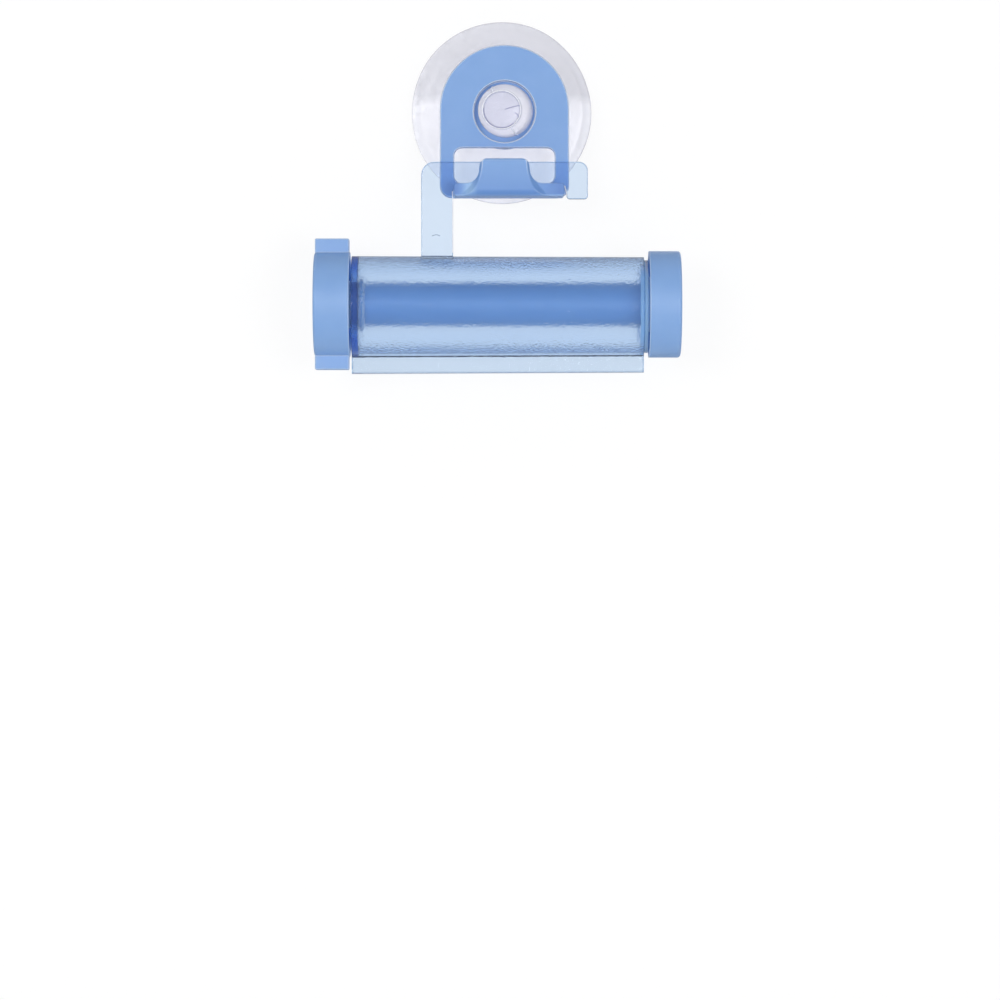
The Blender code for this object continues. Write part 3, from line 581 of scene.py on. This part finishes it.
def lathe(profile, segments):
    """A closed mesh from a profile of (radius, depth), spun round the Y axis and facing -Y."""
    shape = bmesh.new()
    turns = [math.tau * i / segments for i in range(segments)]
    rings = []
    for radius, depth in profile:
        if radius == 0:
            rings.append([shape.verts.new((0, -depth, 0))])
            continue
        places = [(radius * math.cos(turn), -depth, radius * math.sin(turn)) for turn in turns]
        rings.append([shape.verts.new(place) for place in places])
    for first, second in zip(rings, rings[1:]):
        for i in range(segments):
            around = ((first, i - 1), (first, i), (second, i), (second, i - 1))
            corners = [ring[j] for ring, j in around if len(ring) > 1]
            corners += [ring[0] for ring in (first, second) if len(ring) == 1]
            shape.faces.new(corners)
    bmesh.ops.recalc_face_normals(shape, faces=shape.faces)
    return shape


def curve_through(points, steps):
    """A smooth Catmull-Rom line through points of (radius, depth)."""
    ends = [points[0]] + points + [points[-1]]
    line = []
    for before, start, end, after in zip(ends, ends[1:], ends[2:], ends[3:]):
        for i in range(steps):
            t = i / steps
            place = []
            for a, b, c, d in zip(before, start, end, after):
                square = (2 * a - 5 * b + 4 * c - d) * t**2
                cube = (3 * b - a - 3 * c + d) * t**3
                place.append(0.5 * (2 * b + (c - a) * t + square + cube))
            line.append(tuple(place))
    return line + [points[-1]]


def cup_profile():
    """The suction cup's outline from the middle of its head round to the middle of its cavity."""
    face = HEAD_FACE_RADIUS
    head = [
        (0, HEAD_FRONT - 0.02 * MM),
        (face * 0.5, HEAD_FRONT),
        (face - 0.62 * MM, HEAD_FRONT),
        (face - 0.46 * MM, HEAD_FRONT - 0.2 * MM),
        (face - 0.3 * MM, HEAD_FRONT),
        (face - 0.08 * MM, HEAD_FRONT - 0.04 * MM),
        (face, HEAD_FRONT - 0.45 * MM),
        (face + 0.2 * MM, HEAD_FRONT - 0.6 * MM),
        (HEAD_RADIUS - 0.45 * MM, HEAD_FRONT - 0.95 * MM),
        (HEAD_RADIUS - 0.1 * MM, HEAD_FRONT - 1.45 * MM),
        (HEAD_RADIUS, HEAD_BACK + 0.8 * MM),
        (HEAD_RADIUS - 0.15 * MM, HEAD_BACK + 0.2 * MM),
        (HEAD_RADIUS - 0.6 * MM, HEAD_BACK),
    ]
    neck = [
        (NECK_RADIUS + 0.1 * MM, HEAD_BACK),
        (NECK_RADIUS, HEAD_BACK - 0.15 * MM),
        (NECK_RADIUS, CUP_HEIGHT + 0.2 * MM),
        (NECK_RADIUS + 0.2 * MM, CUP_HEIGHT),
    ]
    seal = CUP_RIM_RADIUS - CUP_SEAL_WIDTH
    dome = curve_through([
        (CUP_COLLAR_RADIUS - 0.3 * MM, CUP_HEIGHT),
        (CUP_COLLAR_RADIUS, CUP_HEIGHT - 0.4 * MM),
        (CUP_COLLAR_RADIUS + 0.6 * MM, CUP_DOME_HEIGHT + 0.1 * MM),
        (CUP_COLLAR_RADIUS + 2.2 * MM, CUP_DOME_HEIGHT - 0.75 * MM),
        (CUP_COLLAR_RADIUS + 6.0 * MM, 5.35 * MM),
        (CUP_COLLAR_RADIUS + 10.0 * MM, 3.1 * MM),
        (CUP_RIM_RADIUS - 1.6 * MM, 1.3 * MM),
        (CUP_RIM_RADIUS - 0.35 * MM, CUP_RIM_THICKNESS),
        (CUP_RIM_RADIUS, CUP_RIM_THICKNESS * 0.55),
        (CUP_RIM_RADIUS - 0.15 * MM, 0.08 * MM),
        (CUP_RIM_RADIUS - 0.4 * MM, 0),
    ], CUP_DOME_STEPS)
    cavity = curve_through([
        (seal, 0),
        (seal - 1.2 * MM, 0.25 * MM),
        (seal * 0.66, 2.5 * MM),
        (seal * 0.33, 5.0 * MM),
        (0.8 * MM, CUP_CAVITY_DEPTH),
    ], CUP_CAVITY_STEPS)
    return head + neck + dome + cavity + [(0, CUP_CAVITY_DEPTH)]


def cup_shift(depth):
    """How far the soft cup leans sideways at a depth: its rim one way and its head the other."""
    if depth < CUP_HEIGHT:
        return RIM_SHIFT * (1 - depth / CUP_HEIGHT) ** RIM_SHIFT_POWER
    if depth < HEAD_BACK:
        return Vector((0, 0))
    return FLANGE_SHIFT.lerp(FACE_SHIFT, (depth - HEAD_BACK) / (HEAD_FRONT - HEAD_BACK))


def make_suction_cup(material):
    """The soft cup, turned, then stretched and waved at its rim and leaned."""
    shape = lathe(cup_profile(), CUP_SEGMENTS)
    for vertex in shape.verts:
        shift = cup_shift(-vertex.co.y)
        turn = math.atan2(vertex.co.z, vertex.co.x)
        radius = math.hypot(vertex.co.x, vertex.co.z)
        loose = (radius / CUP_RIM_RADIUS) ** RIM_STRETCH_POWER
        wave = RIM_WAVE * math.sin(RIM_WAVE_COUNT * turn + RIM_WAVE_START)
        vertex.co.x += math.cos(turn) * (RIM_STRETCH.x + wave) * loose
        vertex.co.z += math.sin(turn) * (RIM_STRETCH.y + wave) * loose
        vertex.co.x += shift.x
        vertex.co.z += shift.y
    mesh = smooth_mesh("suction_cup_surface", shape, CUP_SHARP_ANGLE)
    new_piece("soft_cup", mesh, material, "cup", "clear_pvc", "suction_cup")


def ridge(name, points, radius, material, body, slot, closed=False):
    """A thin moulded line along points in the row's frame."""
    curve = bpy.data.curves.new(name, "CURVE")
    curve.dimensions = "3D"
    curve.bevel_depth = radius
    curve.bevel_resolution = RIDGE_RESOLUTION
    curve.use_fill_caps = True
    spline = curve.splines.new("POLY")
    spline.points.add(len(points) - 1)
    spline.use_cyclic_u = closed
    for point, place in zip(spline.points, points):
        point.co = (*place, 1)
    source = bpy.data.objects.new(name, curve)
    bpy.context.scene.collection.objects.link(source)
    bpy.context.view_layer.update()
    solid = source.evaluated_get(bpy.context.evaluated_depsgraph_get())
    mesh = bpy.data.meshes.new_from_object(solid)
    bpy.data.objects.remove(source)
    mesh.shade_smooth()
    new_piece(name, mesh, material, body, slot)


def around_cup(shift, radius, depth, turn):
    """A point of the cup's head at a radius and turn round its axis, which is shifted sideways."""
    return (shift.x + radius * math.cos(turn), -depth, shift.y + radius * math.sin(turn))


def make_flash_lines(material):
    """The mould's parting line, left standing on two sides of the cup's head."""
    profile = (
        (HEAD_FACE_RADIUS + 0.25 * MM, HEAD_FRONT - 0.40 * MM),
        (HEAD_RADIUS - 0.45 * MM, HEAD_FRONT - 0.93 * MM),
        (HEAD_RADIUS - 0.08 * MM, HEAD_FRONT - 1.45 * MM),
        (HEAD_RADIUS, HEAD_BACK + 0.8 * MM),
    )
    for side, turn in (("upper", FLASH_ANGLE), ("lower", FLASH_ANGLE + math.pi)):
        line = [around_cup(cup_shift(depth), radius, depth, turn) for radius, depth in profile]
        ridge(side + "_flash_line", line, FLASH_RADIUS, material, "cup", "clear_pvc")


def make_face_marks(frosted_and_highlight, scored_and_shadow):
    """A bead round the face of the cup's head, white as a painted highlight, a dark line on its
    lower side as a painted shadow, and two scratches.
    """
    lean = cup_shift(HEAD_FRONT)
    # The bead: a raised ring, white as a painted highlight.
    radius = HEAD_FACE_RADIUS - BEAD_INSET
    turns = [math.tau * i / BEAD_STEPS for i in range(BEAD_STEPS)]
    bead = [around_cup(lean, radius, HEAD_FRONT, turn) for turn in turns]
    ridge("face_bead_and_highlight", bead, BEAD_RADIUS, frosted_and_highlight, "cup", "clear_pvc", closed=True)
    # A dark line, a painted shadow.
    radius = HEAD_FACE_RADIUS - FACE_SHADOW_INSET
    shadow_line = []
    for i in range(FACE_SHADOW_STEPS + 1):
        turn = math.radians(FACE_SHADOW_START + FACE_SHADOW_SWEEP * i / FACE_SHADOW_STEPS)
        shadow_line.append(around_cup(lean, radius, HEAD_FRONT - FACE_SHADOW_SINK, turn))
    ridge("face_shadow_line", shadow_line, FACE_SHADOW_RADIUS, scored_and_shadow, "cup", "clear_pvc")
    for name, points in SCRATCHES.items():
        path = [(x * MM, -HEAD_FRONT, z * MM) for x, z in points]
        ridge(name + "_scratch", path, SCRATCH_RADIUS, scored_and_shadow, "cup", "clear_pvc")


def make_mould_marks(clear, milky, frosted_and_highlight):
    """Marks that the moulds left: an arc on the leg and a nib on the hook. White lines on two
    edges are painted highlights.
    """
    arc = []
    for i in range(2 * ARC_HALF_STEPS + 1):
        share = i / ARC_HALF_STEPS - 1
        offset = (share * ARC_HALF_WIDTH, 0, (1 - share * share) * ARC_RISE)
        arc.append(ARC_MIDDLE + Vector(offset))
    ridge("leg_mould_mark", arc, ARC_RADIUS, clear, "casing", "casing_plastic")
    # White lines on two edges of the arm, painted highlights.
    for name, points, radius in (
        ("leg_highlight_line", LEG_HIGHLIGHT, LEG_HIGHLIGHT_RADIUS),
        ("end_highlight_line", END_HIGHLIGHT, END_HIGHLIGHT_RADIUS),
    ):
        edge = [(x * MM, HANGER_FACE_Y + EDGE_HIGHLIGHT_SINK, z * MM) for x, z in points]
        ridge(name, edge, radius, frosted_and_highlight, "casing", "casing_plastic")
    nib = [(x * MM, y * MM, z * MM) for x, y, z in GATE_NIB]
    ridge("hook_gate_nib", nib, GATE_NIB_RADIUS, milky, "hook", "blue_plastic")


def make_stage():
    """A white paper sweep: a wall that curves down into a floor."""
    wall_y = CAD_BOUNDS[1][1] + WALL_GAP
    line = [(wall_y, WALL_TOP)]
    for i in range(COVE_STEPS + 1):
        turn = math.pi / 2 * i / COVE_STEPS
        y = wall_y - COVE_RADIUS * (1 - math.cos(turn))
        z = FLOOR_Z + COVE_RADIUS * (1 - math.sin(turn))
        line.append((y, z))
    line.append((wall_y - FLOOR_DEPTH, FLOOR_Z))
    shape = bmesh.new()
    left = [shape.verts.new((-WALL_HALF_WIDTH, y, z)) for y, z in line]
    right = [shape.verts.new((WALL_HALF_WIDTH, y, z)) for y, z in line]
    for i in range(len(line) - 1):
        shape.faces.new((left[i], left[i + 1], right[i + 1], right[i]))
    mesh = bpy.data.meshes.new("backdrop")
    shape.to_mesh(mesh)
    shape.free()
    mesh.shade_smooth()
    mesh.materials.append(backdrop_material())
    sweep = bpy.data.objects.new("backdrop", mesh)
    bpy.context.scene.collection.objects.link(sweep)


def make_lights():
    """Lamps that aren't seen through the clear plastic, and a world that looks white."""
    target = Vector((0, ROLLER_AXIS_Y, LAMP_TARGET_Z))
    for name, (place, size, power) in LAMPS.items():
        light = bpy.data.lights.new(name, "AREA")
        light.shape = "DISK"
        light.size = size
        light.energy = power
        lamp = bpy.data.objects.new(name, light)
        lamp.location = place
        lamp.rotation_euler = (target - Vector(place)).to_track_quat("-Z", "Y").to_euler()
        lamp.visible_transmission = False
        bpy.context.scene.collection.objects.link(lamp)
    world = bpy.data.worlds.new("studio")
    bpy.context.scene.world = world
    sky = Shader(world, "ShaderNodeOutputWorld")
    level = sky.between(sky.in_view(0.0), WORLD_LEVEL, 1.0)
    sky.end_with(sky.add("ShaderNodeBackground", {"Strength": level}).outputs[0])


def make_camera():
    camera = bpy.data.cameras.new("camera")
    camera.sensor_width = SENSOR_WIDTH
    camera.lens = SENSOR_WIDTH * CAMERA_DISTANCE / FRAME_WIDTH
    camera.clip_end = FAR_CLIP
    viewer = bpy.data.objects.new("camera", camera)
    viewer.location = (FRAME_CENTRE_X, ROLLER_AXIS_Y - CAMERA_DISTANCE, FRAME_CENTRE_Z)
    viewer.rotation_euler = (math.pi / 2, 0, 0)
    bpy.context.scene.collection.objects.link(viewer)
    bpy.context.scene.camera = viewer


def make_pieces():
    milky = milky_plastic("milky_blue_plastic", *PLATE_BLUES)
    # The hook's copy, with painted shade and painted light.
    hook_painted = milky_plastic("milky_blue_plastic_hook_painted_light", *PLATE_BLUES, hook_painted_light)
    # A lighter copy for the knob and cap, a painted sheen.
    paler = milky_plastic("milky_blue_plastic_painted_sheen", *KNOB_SHEEN_BLUES)
    # A darker copy for the roller, painted shade.
    deeper = milky_plastic("milky_blue_plastic_roller_painted_shade", *ROLLER_SHADE_BLUES)
    clear = casing_plastic("clear_blue_plastic", *CASING_LOOK)
    cloudy = casing_plastic("cloudy_blue_plastic", *DISC_LOOK)
    soft = cup_plastic()
    make_moulding("hook_plate", "hook", "blue_plastic", hook_painted)
    make_moulding("casing", "casing", "casing_plastic", clear)
    make_moulding("bearing_disc", "casing", "casing_plastic", cloudy)
    make_moulding("roller", "winder", "blue_plastic", deeper)
    make_moulding("winding_knob", "winder", "blue_plastic", paler)
    make_moulding("end_cap", "winder", "blue_plastic", paler)
    make_suction_cup(soft)
    # White for the flash lines, and as painted highlights.
    frosted_and_highlight = worn_and_painted_plastic("frosted_plastic_and_painted_highlight", *FROSTED_AND_HIGHLIGHT_COLOURS)
    # Dark for the scratches, and as a painted shadow.
    scored_and_shadow = worn_and_painted_plastic("scored_plastic_and_painted_shadow", *SCORED_AND_SHADOW_COLOURS)
    make_flash_lines(frosted_and_highlight)
    make_face_marks(frosted_and_highlight, scored_and_shadow)
    make_mould_marks(clear, milky, frosted_and_highlight)


def main():
    bpy.context.scene.view_settings.view_transform = "Standard"
    make_camera()
    make_lights()
    make_stage()
    make_pieces()
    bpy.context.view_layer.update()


main()
